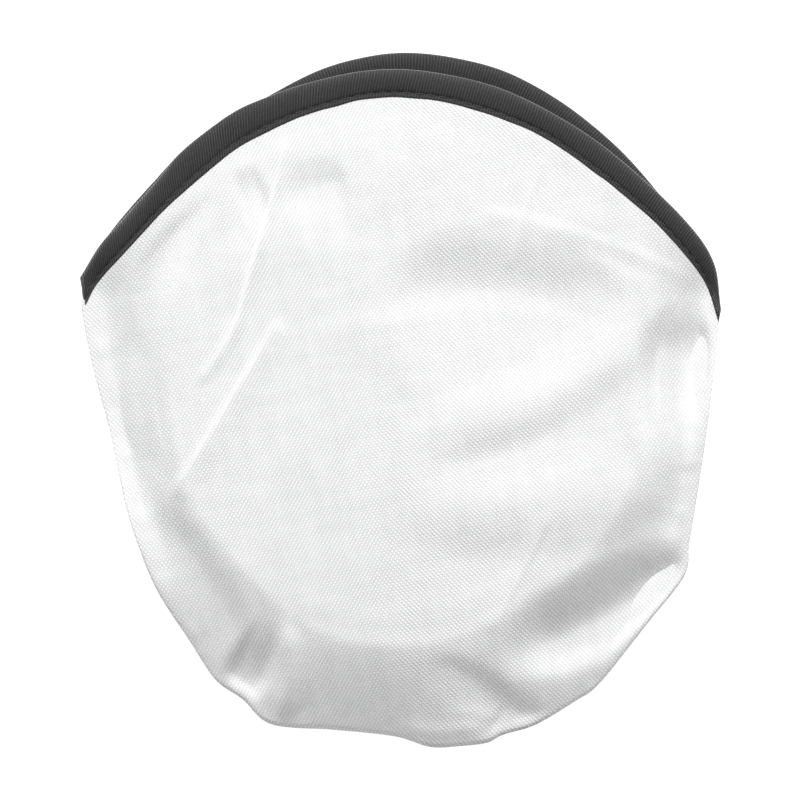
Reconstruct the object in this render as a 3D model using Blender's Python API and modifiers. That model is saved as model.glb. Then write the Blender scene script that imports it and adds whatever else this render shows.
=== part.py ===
"""A folding flying disc, coiled up in its soft storage pouch.

The pouch lies on its back: +X is to its right, +Y points out of its mouth and +Z is up.
The origin is on the resting surface, under the middle of the pouch.
"""

import math

import bmesh
import bpy
from mathutils import Vector

MM = 0.001
X_AXIS = Vector((1, 0, 0))
Z_AXIS = Vector((0, 0, 1))

# The pouch's outline. Its lower half is a superellipse, and so is each of its two mouth edges.
HALF_WIDTH = 59.9 * MM
CORNER_Y = 16.0 * MM  # the mouth's corners, and the line that the front lip bends on
BOTTOM_DEPTH = 81.0 * MM  # from the corner line to the bottom seam
FRONT_MOUTH_RISE = 44.95 * MM  # from the corner line to the front cloth's edge
BACK_MOUTH_RISE = 48.6 * MM
MOUTH_POWER = 1.7
SEAM_POWER = 2.2

# The cloth's thickness and the shape that it takes over the disc.
CLOTH = 0.4 * MM
GAP = 0.3 * MM
SEAM_HEIGHT = 5.6 * MM  # underside of the front cloth at the seam
CREST_RISE = 6.25 * MM  # from there to its underside over the disc
CREST_POWER = 9  # how squarely the cloth drops to the seam
BACK_SEAM_RISE = 3.2 * MM  # of the back cloth at the seam, which hangs between the two cloths
BACK_FLAT_REACH = 0.55  # of the way out to the seam, up to where the back cloth lies flat
RING_COUNT = 8
HALF_TURN_COLUMNS = 24

# Binding tape, folded round each mouth edge, with one row of stitches.
TAPE = 0.35 * MM
BINDING_WIDTH = 5.6 * MM
BINDING_COLUMNS = 36
STITCH_MARGIN = 1.0 * MM  # from the tape's lower edge to the stitches
THREAD = 0.3 * MM
THREAD_GAP = 0.1 * MM
FRONT_BINDING_START = math.radians(8)
BACK_BINDING_START = math.radians(15)
SEAM_CORD = 1.0 * MM  # the rolled seam, where front and back cloth are sewn together
SEAM_INSET = 1.6 * MM

# The disc: one closed ring of spring wire that is coiled into three loops of a third of its size.
LOOPS = 3
STEPS_PER_LOOP = 32
WIRE = 1.0 * MM
LOOP_RADIUS = 42.1 * MM
LOOP_SPREAD = 5.5 * MM  # how far the wire wanders in and out between the loops
LOOP_LIFT = 2.75 * MM  # how far it wanders up and down
DISC_CENTRE = Vector((0, 1.5 * MM, 6.25 * MM))
TAPE_RADIUS = 1.025 * MM  # the rim tape's middle surface, round the wire
RIM_FLAP = 6.2 * MM  # from the wire to the tape's inner edge
RIM_THREAD = 0.4 * MM
RIM_THREAD_INSET = 5.0 * MM
FERRULE_OUTER = 1.5 * MM
FERRULE_WALL = 0.2 * MM
FERRULE_STEPS = 1  # of the steps that the loops are drawn in
MEMBRANE_RADIUS = 30.0 * MM
MEMBRANE_HEIGHT = 7.0 * MM

CREST_TOP = SEAM_HEIGHT + CREST_RISE + CLOTH
LIP_HINGE = Vector((0, CORNER_Y, CREST_TOP))
BINDING_MIDDLE = CLOTH / 2
BINDING_ROUND = CLOTH / 2 + GAP + TAPE / 2  # the folded tape's middle surface, round the cloth
BINDING_OVERHANG = BINDING_ROUND + TAPE / 2
BINDING_INSET = BINDING_WIDTH - BINDING_OVERHANG
BACK_EDGE_LIFT = GAP + TAPE  # lifts the back cloth's mouth edge clear of the tape under it


def clear_scene():
    for old in list(bpy.data.objects):
        bpy.data.objects.remove(old)


def make_collection(name):
    collection = bpy.data.collections.new(name)
    bpy.context.scene.collection.children.link(collection)
    return collection


def make_material(name, colour, roughness, metallic=0.0):
    material = bpy.data.materials.new(name)
    material.use_nodes = True
    shader = material.node_tree.nodes["Principled BSDF"]
    shader.inputs["Base Color"].default_value = (*colour, 1)
    shader.inputs["Roughness"].default_value = roughness
    shader.inputs["Metallic"].default_value = metallic
    return material


def add_object(name, data, collection, material, mover=None):
    """Puts the data in the scene, under the empty that carries it if it moves."""
    data.materials.append(material)
    made = bpy.data.objects.new(name, data)
    made.parent = mover
    collection.objects.link(made)
    return made


def add_mover(name, place, collection):
    """An empty on a joint's axis, which the pieces of that moving body hang from."""
    mover = bpy.data.objects.new(name, None)
    mover.location = place
    mover.empty_display_size = 10 * MM
    collection.objects.link(mover)
    return mover


def origin_of(mover):
    return mover.location if mover else Vector((0, 0, 0))


def sheet(name, columns, rows, place, thickness, offset, collection, material, mover=None):
    """A grid bent to place(u, v), with u and v from 0 to 1, and made solid. Edges that meet are joined."""
    mesh = bpy.data.meshes.new(name)
    cage = bmesh.new()
    bmesh.ops.create_grid(cage, x_segments=columns, y_segments=rows, size=1)
    for vertex in cage.verts:
        u = (vertex.co.x + 1) / 2
        v = (vertex.co.y + 1) / 2
        vertex.co = place(u, v) - origin_of(mover)
    bmesh.ops.remove_doubles(cage, verts=cage.verts, dist=0.001 * MM)
    cage.to_mesh(mesh)
    cage.free()
    mesh.shade_smooth()
    made = add_object(name, mesh, collection, material, mover)
    solid = made.modifiers.new("Thickness", "SOLIDIFY")
    solid.thickness = thickness
    solid.offset = offset
    return made


def tube(name, points, diameter, closed, collection, material, mover=None):
    """A round thread or wire through the points."""
    curve = bpy.data.curves.new(name, "CURVE")
    curve.dimensions = "3D"
    curve.bevel_depth = diameter / 2
    curve.bevel_resolution = 2
    curve.use_fill_caps = not closed
    spline = curve.splines.new("POLY")
    spline.points.add(len(points) - 1)
    spline.use_cyclic_u = closed
    for control, point in zip(spline.points, points):
        control.co = (*(point - origin_of(mover)), 1)
    return add_object(name, curve, collection, material, mover)


def ramp(value, low, high):
    """0 below low, 1 above high, with a smooth rise between them."""
    share = min(max((value - low) / (high - low), 0), 1)
    return share * share * (3 - 2 * share)


def superellipse(angle, half_width, half_height, power):
    """The point at this angle on a superellipse round the origin."""
    across = math.copysign(abs(math.cos(angle)) ** (2 / power), math.cos(angle))
    up = math.copysign(abs(math.sin(angle)) ** (2 / power), math.sin(angle))
    return half_width * across, half_height * up


def reach(x, y, half_width, half_height, power):
    """How far out a point lies inside that superellipse: 0 in its middle and 1 on it."""
    return ((abs(x) / half_width) ** power + (abs(y) / half_height) ** power) ** (1 / power)


def outline(angle, rise):
    """The pouch's outline, with a mouth edge this far above the corner line, relative to that line."""
    if math.sin(angle) >= 0:
        return superellipse(angle, HALF_WIDTH, rise, MOUTH_POWER)
    return superellipse(angle, HALF_WIDTH, BOTTOM_DEPTH, SEAM_POWER)


def front_underside(x, y):
    """The front cloth lies over the disc like an arch, and keeps that arch up to the open mouth."""
    if y >= CORNER_Y:
        out = abs(x) / HALF_WIDTH
    else:
        out = reach(x, y - CORNER_Y, HALF_WIDTH, BOTTOM_DEPTH, SEAM_POWER)
    return SEAM_HEIGHT + CREST_RISE * (1 - min(out, 1) ** CREST_POWER)


def back_underside(x, y):
    """The back cloth lies flat and turns up at its sides. The tape under its mouth edge lifts that edge."""
    if y <= CORNER_Y:
        out = reach(x, y - CORNER_Y, HALF_WIDTH, BOTTOM_DEPTH, SEAM_POWER)
    else:
        out = abs(x) / HALF_WIDTH
    turned_up = BACK_SEAM_RISE * (max(min(out, 1) - BACK_FLAT_REACH, 0) / (1 - BACK_FLAT_REACH)) ** 3
    near_mouth = reach(x, max(y - CORNER_Y, 0), HALF_WIDTH, BACK_MOUTH_RISE, MOUTH_POWER)
    on_tape = ramp(near_mouth, 0.76, 0.83) * ramp(y, CORNER_Y, CORNER_Y + 6 * MM)
    return turned_up + BACK_EDGE_LIFT * on_tape


def panel_point(u, angle, rise, underside, shift=0.0):
    """A point of a panel, u of the way from the middle of the corner line out to the outline."""
    out = math.sin(u * math.pi / 2)
    x, y = (out * side for side in outline(angle, rise))
    y += CORNER_Y
    return Vector((x, y + shift, underside(x, y)))


def mouth_point(angle, rise, underside, inset, lift):
    """A point inset from a mouth edge, and lifted from the cloth's underside square to the cloth."""
    step = math.radians(0.5)
    edge = Vector(outline(angle, rise))
    along = Vector(outline(angle + step, rise)) - Vector(outline(angle - step, rise))
    inward = Vector((-along.y, along.x)).normalized()
    x, y = edge + inward * inset + Vector((0, CORNER_Y))
    nudge = 0.1 * MM
    slope_x = (underside(x + nudge, y) - underside(x - nudge, y)) / (2 * nudge)
    slope_y = (underside(x, y + nudge) - underside(x, y - nudge)) / (2 * nudge)
    square = Vector((-slope_x, -slope_y, 1)).normalized()
    return Vector((x, y, underside(x, y))) + square * lift


def binding_profile():
    """The tape's section, as (inset, lift): one leg under the cloth, a fold round its edge, one leg over it."""
    legs = [BINDING_INSET, BINDING_INSET / 2]
    under = [(inset, BINDING_MIDDLE - BINDING_ROUND) for inset in legs]
    over = [(inset, BINDING_MIDDLE + BINDING_ROUND) for inset in reversed(legs)]
    fold = []
    for quarter in range(5):
        turn = math.pi * quarter / 4
        inset = -BINDING_ROUND * math.sin(turn)
        lift = BINDING_MIDDLE - BINDING_ROUND * math.cos(turn)
        fold.append((inset, lift))
    return under + fold + over


def mouth_angle(share, start):
    return start + (math.pi - 2 * start) * share


def add_binding(name, rise, underside, start, collection, material, mover=None):
    profile = binding_profile()

    def place(u, v):
        inset, lift = profile[round(v * (len(profile) - 1))]
        return mouth_point(mouth_angle(u, start), rise, underside, inset, lift)

    return sheet(name, BINDING_COLUMNS, len(profile) - 1, place, TAPE, 0, collection, material, mover)


def add_binding_stitches(name, rise, underside, start, collection, material, mover=None):
    inset = BINDING_INSET - STITCH_MARGIN
    lift = BINDING_MIDDLE + BINDING_ROUND + TAPE / 2 + THREAD_GAP + THREAD / 2
    points = []
    for column in range(1, BINDING_COLUMNS):
        angle = mouth_angle(column / BINDING_COLUMNS, start)
        points.append(mouth_point(angle, rise, underside, inset, lift))
    return tube(name, points, THREAD, False, collection, material, mover)


def add_seam(collection, material):
    """The rolled side and bottom seam, from one mouth corner round to the other."""
    points = []
    height = BACK_SEAM_RISE + CLOTH + GAP + SEAM_CORD / 2
    shrink = 1 - SEAM_INSET / HALF_WIDTH
    for column in range(1, 2 * HALF_TURN_COLUMNS):
        angle = math.pi + math.pi * column / (2 * HALF_TURN_COLUMNS)
        x, y = outline(angle, 0)
        points.append(Vector((x * shrink, y * shrink + CORNER_Y, height)))
    return tube("side_seam_cord", points, SEAM_CORD, False, collection, material)


def coil_point(share, inward=0.0, lift=0.0):
    """A point on the coiled ring, share of the way along its wire, moved in towards the middle or up."""
    turn = math.tau * LOOPS * share
    radius = LOOP_RADIUS + LOOP_SPREAD * math.cos(turn / LOOPS) - inward
    height = LOOP_LIFT * math.sin(turn / LOOPS) + lift
    return DISC_CENTRE + Vector((radius * math.cos(turn), radius * math.sin(turn), height))


def rim_profile():
    """The rim tape's section, as (inward, lift): a flap, a fold round the wire and the other flap."""
    flap = (RIM_FLAP, -TAPE_RADIUS)
    fold = []
    for quarter in range(5):
        turn = math.pi * quarter / 4
        fold.append((-TAPE_RADIUS * math.sin(turn), -TAPE_RADIUS * math.cos(turn)))
    return [flap] + fold + [(RIM_FLAP, TAPE_RADIUS)]


def add_rim_tape(collection, material, mover):
    profile = rim_profile()

    def place(u, v):
        inward, lift = profile[round(v * (len(profile) - 1))]
        return coil_point(u, inward, lift)

    rows = len(profile) - 1
    return sheet("rim_tape", LOOPS * STEPS_PER_LOOP, rows, place, TAPE, 0, collection, material, mover)


def add_ring_thread(name, inward, diameter, collection, material, mover):
    steps = LOOPS * STEPS_PER_LOOP
    points = [coil_point(step / steps, inward) for step in range(steps)]
    return tube(name, points, diameter, True, collection, material, mover)


def add_ferrule(collection, material, mover):
    """The sleeve that joins the two ends of the wire. It follows the wire's own bend."""
    radius = (FERRULE_OUTER - FERRULE_WALL) / 2

    def place(u, v):
        turn = math.tau * v
        share = u * FERRULE_STEPS / (LOOPS * STEPS_PER_LOOP)
        return coil_point(share, -radius * math.cos(turn), radius * math.sin(turn))

    return sheet("crimp_ferrule", FERRULE_STEPS, 12, place, FERRULE_WALL, 0, collection, material, mover)


def add_membrane(collection, material, mover):
    """The disc's cloth, bunched up inside the loops, as one plain lens."""
    mesh = bpy.data.meshes.new("disc_membrane")
    lens = bmesh.new()
    bmesh.ops.create_uvsphere(lens, u_segments=32, v_segments=10, radius=1)
    bmesh.ops.scale(lens, vec=(MEMBRANE_RADIUS, MEMBRANE_RADIUS, MEMBRANE_HEIGHT / 2), verts=lens.verts)
    lens.to_mesh(mesh)
    lens.free()
    mesh.shade_smooth()
    return add_object("disc_membrane", mesh, collection, material, mover)


def build_pouch(collection, cloth, tape, thread):
    """The back cloth, the front cloth up to the corner line, their seam and the back mouth's binding."""

    def back(u, v):
        return panel_point(u, math.tau * v, BACK_MOUTH_RISE, back_underside)

    def front(u, v):
        return panel_point(u, math.pi * (1 + v), 0, front_underside, -GAP / 2)

    sheet("pouch_back_panel", RING_COUNT, 2 * HALF_TURN_COLUMNS, back, CLOTH, 1, collection, cloth)
    sheet("pouch_front_panel", RING_COUNT, HALF_TURN_COLUMNS, front, CLOTH, 1, collection, cloth)
    add_seam(collection, thread)
    mouth = (BACK_MOUTH_RISE, back_underside, BACK_BINDING_START, collection)
    add_binding("back_mouth_binding", *mouth, tape)
    add_binding_stitches("back_binding_stitching", *mouth, tape)


def build_front_lip(collection, cloth, tape):
    """The front cloth above the corner line, with its binding. It folds back on that line."""
    hinge = add_mover("front_lip_hinge", LIP_HINGE, collection)

    def lip(u, v):
        return panel_point(u, math.pi * v, FRONT_MOUTH_RISE, front_underside, GAP / 2)

    sheet("front_lip_panel", RING_COUNT, HALF_TURN_COLUMNS, lip, CLOTH, 1, collection, cloth, hinge)
    mouth = (FRONT_MOUTH_RISE, front_underside, FRONT_BINDING_START, collection)
    add_binding("front_mouth_binding", *mouth, tape, hinge)
    add_binding_stitches("front_binding_stitching", *mouth, tape, hinge)


def build_folded_disc(collection, cloth, tape, steel, ferrule_metal):
    """The coiled ring with its rim tape and cloth. It slides out of the mouth."""
    slide = add_mover("disc_slide", DISC_CENTRE, collection)
    add_ring_thread("spring_wire_ring", 0, WIRE, collection, steel, slide)
    add_ferrule(collection, ferrule_metal, slide)
    add_rim_tape(collection, tape, slide)
    add_ring_thread("rim_stitching", RIM_THREAD_INSET, RIM_THREAD, collection, tape, slide)
    add_membrane(collection, cloth, slide)


def build():
    clear_scene()
    collection = make_collection("folding_flying_disc")
    cloth = make_material("white_polyester", (0.86, 0.87, 0.88), 0.85)
    thread = make_material("white_thread", (0.82, 0.83, 0.84), 0.8)
    tape = make_material("black_tape", (0.03, 0.03, 0.032), 0.8)
    steel = make_material("spring_steel", (0.55, 0.55, 0.56), 0.3, 1.0)
    ferrule_metal = make_material("plated_brass", (0.7, 0.66, 0.58), 0.35, 1.0)
    build_pouch(collection, cloth, tape, thread)
    build_front_lip(collection, cloth, tape)
    build_folded_disc(collection, cloth, tape, steel, ferrule_metal)


build()
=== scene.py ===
"""The visual model of a folding flying ring in its pouch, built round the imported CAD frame."""

import math

import bmesh
import bpy
import numpy as np
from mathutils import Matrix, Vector


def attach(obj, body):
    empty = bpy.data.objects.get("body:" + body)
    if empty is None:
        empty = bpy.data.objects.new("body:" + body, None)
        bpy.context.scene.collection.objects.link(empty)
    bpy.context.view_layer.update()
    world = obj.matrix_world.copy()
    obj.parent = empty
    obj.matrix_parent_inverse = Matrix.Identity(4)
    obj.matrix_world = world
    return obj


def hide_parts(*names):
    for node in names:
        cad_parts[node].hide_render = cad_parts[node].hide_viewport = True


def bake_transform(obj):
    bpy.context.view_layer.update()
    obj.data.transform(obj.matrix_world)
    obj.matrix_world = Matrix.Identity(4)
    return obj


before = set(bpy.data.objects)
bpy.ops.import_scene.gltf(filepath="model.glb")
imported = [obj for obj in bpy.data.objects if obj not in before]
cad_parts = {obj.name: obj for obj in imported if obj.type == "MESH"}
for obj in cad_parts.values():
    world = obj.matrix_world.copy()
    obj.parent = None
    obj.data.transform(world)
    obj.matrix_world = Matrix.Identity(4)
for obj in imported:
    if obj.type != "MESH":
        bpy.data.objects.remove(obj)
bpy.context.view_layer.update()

MM = 0.001


# Everything below is in millimetres until it becomes a mesh. The pouch lies on its back, its mouth
# towards +Y. Outlines are given and run from the left mouth corner to the right one.
SEAM_OUTLINE = [
    (-59.7, 17.0), (-57.8, 7.0), (-54.2, -6.5), (-52.4, -15.0), (-50.4, -23.0), (-45.8, -35.0),
    (-39.2, -45.6), (-34.6, -52.6), (-29.6, -56.2), (-24.2, -60.9), (-13.0, -61.9), (-5.5, -62.6),
    (0.0, -63.4), (5.8, -65.2), (11.5, -65.0), (16.3, -64.4), (19.4, -62.9), (25.5, -61.0),
    (32.7, -56.7), (37.5, -53.2), (46.0, -42.5), (53.4, -32.9), (54.3, -26.5), (56.3, -14.0),
    (58.2, 0.0), (59.5, 12.0), (59.8, 16.0),
]
FRONT_ROLL_OUTLINE = [
    (-60.1, 23.0), (-56.3, 29.0), (-51.9, 33.8), (-45.2, 41.2), (-41.2, 46.0), (-35.9, 50.4),
    (-30.5, 54.1), (-24.8, 56.6), (-17.3, 59.2), (-6.5, 61.5), (4.2, 61.5), (18.2, 58.4),
    (30.5, 52.4), (40.5, 45.4), (52.9, 34.1), (58.8, 26.0), (60.3, 17.0),
]
FRONT_LIP_OUTLINE = [
    (-59.2, 17.4), (-56.5, 22.2), (-51.5, 27.6), (-42.7, 36.6), (-35.5, 43.0), (-29.0, 47.8),
    (-19.0, 52.6), (-6.5, 56.1), (4.0, 56.2), (13.8, 54.1), (25.3, 49.8), (34.3, 43.9),
    (45.2, 35.4), (51.0, 29.8), (57.1, 22.3), (59.8, 14.6),
]
BACK_ROLL_OUTLINE = [
    (-59.4, 23.0), (-55.0, 31.0), (-46.5, 41.0), (-38.5, 49.0), (-25.2, 57.0), (-15.5, 62.0),
    (-7.0, 64.5), (1.0, 65.4), (10.0, 64.5), (20.0, 61.8), (30.0, 56.4), (39.0, 49.4),
    (46.0, 42.2), (54.0, 32.0), (59.0, 24.0), (60.3, 17.5),
]
BULGE_CENTRE = (0.8, 1.5)
BULGE_REACH = 43.6  # from its centre, where the front cloth starts to fall towards the seam
BULGE_WANDER = 1.4  # how unevenly the cloth leaves the bulge
BULGE_SHORTENING = 0.93  # the cloth bridges over a little further at the bottom
CREST_Y = 18.0  # where the front cloth is highest
CREST_HEIGHT = 12.3
# How fast it falls from there, with the distance squared.
MOUTH_FALL = 0.0007
BOTTOM_FALL = 0.00039
# Beyond the bulge it falls by the share of the way to the seam. At the sides that is a soft step, which
# ends before the seam. At the bottom it is a power of the share, blended in over a band below the middle.
SIDE_FALL_END = 0.78
BOTTOM_FALL_POWER = 1.2
BOTTOM_FALL_BAND = (20, 45)
# How high the middle of the seam lies, at the sides and at the bottom.
SIDE_SEAM_HEIGHT = 4.4
BOTTOM_SEAM_HEIGHT = 2.6
SEAM_SAG_BAND = (25, 58)  # how far below the middle it sinks from the one to the other
SEAM_UNEVENNESS = 0.25
# Where stiff folds hold the seam higher: (x, y, rise, reach).
SEAM_LIFTS = [(-48, -30, 3.3, 28), (59, -4, 1.9, 28)]
SEAM_HOLD = 3.0  # how far inside the seam the cloth's folds are held down by it
BINDING_HOLD = (0.3, 4.5)  # how far inside the mouth's binding the folds start, and are whole
DISC_CLEARANCE = 0.27  # from the rim tape to the middle of the front cloth
DRAPE_SLOPE = 0.9  # of the cloth beside the rim tape, at its steepest
DRAPE_ROUNDING = 0.5
CLOTH = 0.22
BACK_CLOTH_HEIGHT = 0.18
BACK_BINDING_LIFT = 0.75  # of its mouth edge, which lies on the tape that is folded under it
BACK_TURN_UP = 25.0  # how far inside the seam the back cloth leaves the ground
BACK_CORNER_SINK = 0.3  # of the back binding where it runs into the seam

# The ring's wire, coiled into three loops, as in the frame.
LOOPS = 3
LOOP_RADIUS = 42.1
LOOP_SPREAD = 5.5
LOOP_LIFT = 2.75
DISC_Y = 1.5
DISC_HEIGHT = 6.25
TAPE_OUTER = 1.2
TAPE_INNER = 0.82
RIM_FLAP = 6.2
FLAP_GAP = 0.55  # from the middle of the cloth to the outside of each flap's edge
RIM_THREAD_INSET = 5.0
RIM_THREAD_RISE = 0.28  # of its stitches over the flap's edge
RIM_THREAD_ARCH = 0.14
PLEAT_SPACING = 2.9
PLEAT_TURN = math.radians(35)
PLEAT_HEIGHT = 4.8  # before the two cloths of the pouch press it flat
PRESS_SOFTNESS = 4.2
DISC_CLOTH_REACH = (2.3, 9.85)  # the lowest and the highest that it is pressed to
CLOTH_DRIFT = 9.0  # four times the most that the bunched layers are shifted over one another
CRIMP_TURN = 900.0  # radians a metre along the sleeve, for a dent every 3.5 mm

# Plain weave, ribbed tape and the stitches.
WARP_PITCH = 0.38
WEFT_PITCH = 0.50
WEAVE_TURN = math.radians(-9)
RIB_PITCH = 0.56
PICK_PITCH = 0.42  # of the tape's cross threads
ROLL_WIDTH = 6.0
BACK_ROLL_WIDTH = 5.8
BINDING_GROOVE = 0.175  # where the stitches pull the tape down, as a share of its width from its lip
STITCH_PITCH = 2.3
STITCH_LENGTH = 1.7
STITCH_THREAD = 0.26
STITCH_DIVE = 0.12  # how far each end of a stitch goes down into the cloth
STITCH_HEIGHT = 0.18  # of a binding's stitches over the middle of its cloth
STITCH_ARCH = 0.1  # how far the middle of such a stitch stands up from there
SEAM_LENGTH = 215.0  # along SEAM_OUTLINE, roughly, for the widths of its gathers
SEAM_ROUNDING = 0.12  # radius that the cloth turns round at the seam

# Creases of the front cloth, and below them its folds: (path, height, width to the left, width to the
# right). A negative height is a valley. Left and right are as one looks along the path.
CREASES = [
    # The long bright crease down the left, and the straight pressed one beside it.
    ([(-21.2, 50), (-23.7, 39), (-28.2, 24), (-31.4, 13), (-38.5, 2)], 0.34, 2.8, 1.4),
    ([(-22.2, 15.8), (-43.4, -18.8)], 0.34, 5.0, 1.2),
    # Small creases by the right of the mouth, and one at the lower right.
    ([(26.8, 46), (23.2, 36), (20.0, 24)], 0.17, 2.6, 1.3),
    ([(14, 35.5), (27, 33), (42, 28.2), (57, 22.0)], 0.16, 1.6, 3.2),
    ([(28, -21), (21.5, -34), (16.5, -44)], 0.22, 1.6, 3.2),
    # A pressed fold down the middle.
    ([(0.2, 12), (1, -14), (1.6, -42)], 0.12, 9.0, 2.6),
]
FOLDS = [
    # Dimples beside the top of the long crease, and the pillow below them.
    ([(-31.0, 37.6), (-24.5, 39.6)], -0.7, 6.0, 9.0),
    ([(-22.0, 38.4), (-8.5, 40.4)], -0.85, 6.4, 13.0),
    ([(-38, 18), (-26, 29), (-12, 35.5)], 0.26, 6.5, 9.0),
    # Ripples that cross the middle and run up to the right.
    ([(-17, 12.0), (-4, 13.4), (12, 16.2), (26, 15.4), (40, 11.5)], 0.30, 4.5, 10.5),
    ([(-6, 19.5), (14, 20.0), (26, 19.3), (46, 17.5)], -2.1, 13.0, 24.0),
    ([(-2, -8), (18, -2.5), (34, 5), (48, 18)], 0.58, 8.5, 8.0),
    ([(2, -15), (22, -9.5), (38, 0), (51, 9)], -0.42, 6.0, 10.0),
    ([(-3, -20.5), (18, -21), (34, -19.5), (51, -16)], 0.85, 13.0, 10.0),
    ([(31, 32.5), (47, 22.5)], -0.22, 4.0, 3.0),
    # The hollow and the raised fold at the lower left.
    ([(-45, -18), (-39.5, -29), (-32.5, -40), (-28, -51)], -0.8, 5.0, 12.0),
    ([(-33.0, -48.5), (-23.5, -53.0)], -1.9, 11.0, 8.0),
    ([(-22.6, -62), (-20.4, -51), (-22.0, -40)], 1.2, 3.6, 4.2),
    # The fold and the ridge below it at the lower right.
    ([(17, -50), (37, -40.5), (60, -30)], -3.7, 10.5, 9.0),
    ([(22, -51.5), (39, -45.5), (58, -35.5)], -0.45, 4.0, 8.0),
    # Short folds along the bottom seam.
    ([(4, -48), (14, -53), (25.7, -61.5), (33, -68)], -1.1, 4.6, 9.0),
    ([(-2, -61.4), (8, -62.6), (18, -60.3)], 0.3, 2.6, 1.8),
    ([(9, -58.2), (17, -59.6), (25, -60.4)], 0.2, 2.2, 1.3),
    ([(16.0, -66), (17.5, -61.5), (20.5, -57)], -0.28, 1.6, 1.2),
    # Along the left side, and the pressed patch under the mouth's right corner.
    ([(-33, 40), (-43, 29), (-48.5, 13), (-48, -3), (-41, -19)], -1.1, 5.5, 5.0),
    ([(43, 8.6), (53, 7.2), (63, 7.6)], -2.9, 11.5, 20.0),
]
# Where the seam gathers the front cloth: (share of the way along the seam, height, half width, reach).
GATHERS = [
    (0.035, 0.20, 2.6, 9), (0.085, -0.16, 2.2, 7), (0.125, 0.14, 2.4, 10), (0.18, 0.18, 3.0, 9),
    (0.225, -0.18, 2.6, 8), (0.285, 0.2, 2.8, 7), (0.345, -0.08, 2.4, 6), (0.43, 0.20, 3.0, 8),
    (0.485, -0.18, 2.6, 6), (0.555, 0.25, 2.3, 7), (0.62, -0.20, 2.8, 6), (0.68, 0.2, 3.0, 7),
    (0.755, 0.2, 2.8, 9), (0.79, -0.18, 2.1, 8), (0.833, 0.2, 2.2, 8), (0.868, -0.16, 1.8, 7),
    (0.908, 0.18, 2.0, 7), (0.95, -0.16, 1.8, 8), (0.978, 0.15, 1.6, 6),
]
GATHER_FADE = (0.2, 2.0)  # how far inside the seam a gather starts, and is whole
FOLD_FADE = 0.3  # how much of a fold's length it fades out over, at each end
CREASE_FADE = 0.08  # the same for a crease, which keeps its height almost to its ends
CREASE_HIGHLIGHT_WIDTH = 0.62  # of the painted highlight line on each side of a crease
CREASE_HIGHLIGHT_HEIGHTS = (0.12, 0.32)  # of a crease without the painted highlight, and of one with all of it

# The stage.
WORLD_STRENGTH = 0.21
KEY_POWER = 26.5
SIDE_POWER = 1.8
TOP_POWER = 3.0
FLOOR_GLOW = 0.58  # of the light table under the pouch
FLOOR_REACH = 2500
FLOOR_HEIGHT = -0.05
FRAME_WIDTH = 150.0  # of the view at the height of the pouch's middle
POUCH_MIDDLE = 6.0
LENS = 300.0
SENSOR = 36.0


# ---------------------------------------------------------------- curves and fields

def smooth_path(points, count):
    """count evenly spaced points along a smooth curve through the given ones."""
    knots = np.array(points, float)
    before = np.vstack([2 * knots[:1] - knots[1:2], knots[:-1]])
    after = np.vstack([knots[1:], 2 * knots[-1:] - knots[-2:-1]])
    slopes = (after - before) / 2
    steps_between = 40
    share = np.linspace(0, 1, steps_between, endpoint=False)[:, None]
    pieces = []
    for start, end, leaving, arriving in zip(knots[:-1], knots[1:], slopes[:-1], slopes[1:]):
        curve = (2 * share**3 - 3 * share**2 + 1) * start + (share**3 - 2 * share**2 + share) * leaving
        curve = curve + (3 * share**2 - 2 * share**3) * end + (share**3 - share**2) * arriving
        pieces.append(curve)
    dense = np.vstack(pieces + [knots[-1:]])
    length = length_along(dense)
    wanted = np.linspace(0, length[-1], count)
    return np.column_stack([np.interp(wanted, length, dense[:, i]) for i in range(dense.shape[1])])


def length_along(path):
    """How far along the path each of its points lies."""
    return np.concatenate([[0], np.cumsum(np.linalg.norm(np.diff(path, axis=0), axis=1))])


def ramp(value, low, high):
    """A smooth step from 0 at low to 1 at high."""
    share = np.clip((value - low) / (high - low), 0, 1)
    return share * share * (3 - 2 * share)


def nearest_on_path(x, y, path):
    """Each point's distance from the path, positive on the left, and how far along it lies, as a share."""
    best = np.full(x.shape, np.inf)
    side = np.zeros(x.shape)
    along = np.zeros(x.shape)
    steps = np.linalg.norm(np.diff(path, axis=0), axis=1)
    length = steps.sum()
    passed = 0.0
    for start, end, step in zip(path[:-1], path[1:], steps):
        run = (end - start) / step
        to_x, to_y = x - start[0], y - start[1]
        place = np.clip(to_x * run[0] + to_y * run[1], 0, step)
        away = np.hypot(to_x - place * run[0], to_y - place * run[1])
        nearer = away < best
        best = np.where(nearer, away, best)
        side = np.where(nearer, np.sign(run[0] * to_y - run[1] * to_x), side)
        along = np.where(nearer, (passed + place) / length, along)
        passed += step
    return best * np.where(side == 0, 1, side), along


def value_noise(x, y, size, seed):
    """Smooth noise between -1 and 1 with features of this size, the same each run."""
    random = np.random.default_rng(seed)
    table = random.uniform(-1, 1, (64, 64))
    column, row = x / size + 1000.0, y / size + 1000.0
    i, j = np.floor(column).astype(int), np.floor(row).astype(int)
    u, v = ramp(column - i, 0, 1), ramp(row - j, 0, 1)
    corner = table[i % 64, j % 64] * (1 - u) + table[(i + 1) % 64, j % 64] * u
    above = table[i % 64, (j + 1) % 64] * (1 - u) + table[(i + 1) % 64, (j + 1) % 64] * u
    return corner * (1 - v) + above * v


def fold_path(points):
    """A fold's path: straight between two points, and a curve through more."""
    return smooth_path(points, 14 if len(points) > 2 else 2)


def fold_height(x, y, fold, fade):
    """What one fold adds at each point. It fades out over this share of its length at both ends."""
    points, height, left, right = fold
    away, along = nearest_on_path(x, y, fold_path(points))
    ends = ramp(along, 0, fade) * ramp(1 - along, 0, fade)
    narrowest = 0.55
    width = np.where(away > 0, left, right) * (narrowest + (1 - narrowest) * ends)
    return height * ramp(1 - np.abs(away) / width, 0, 1) * ends


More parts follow.
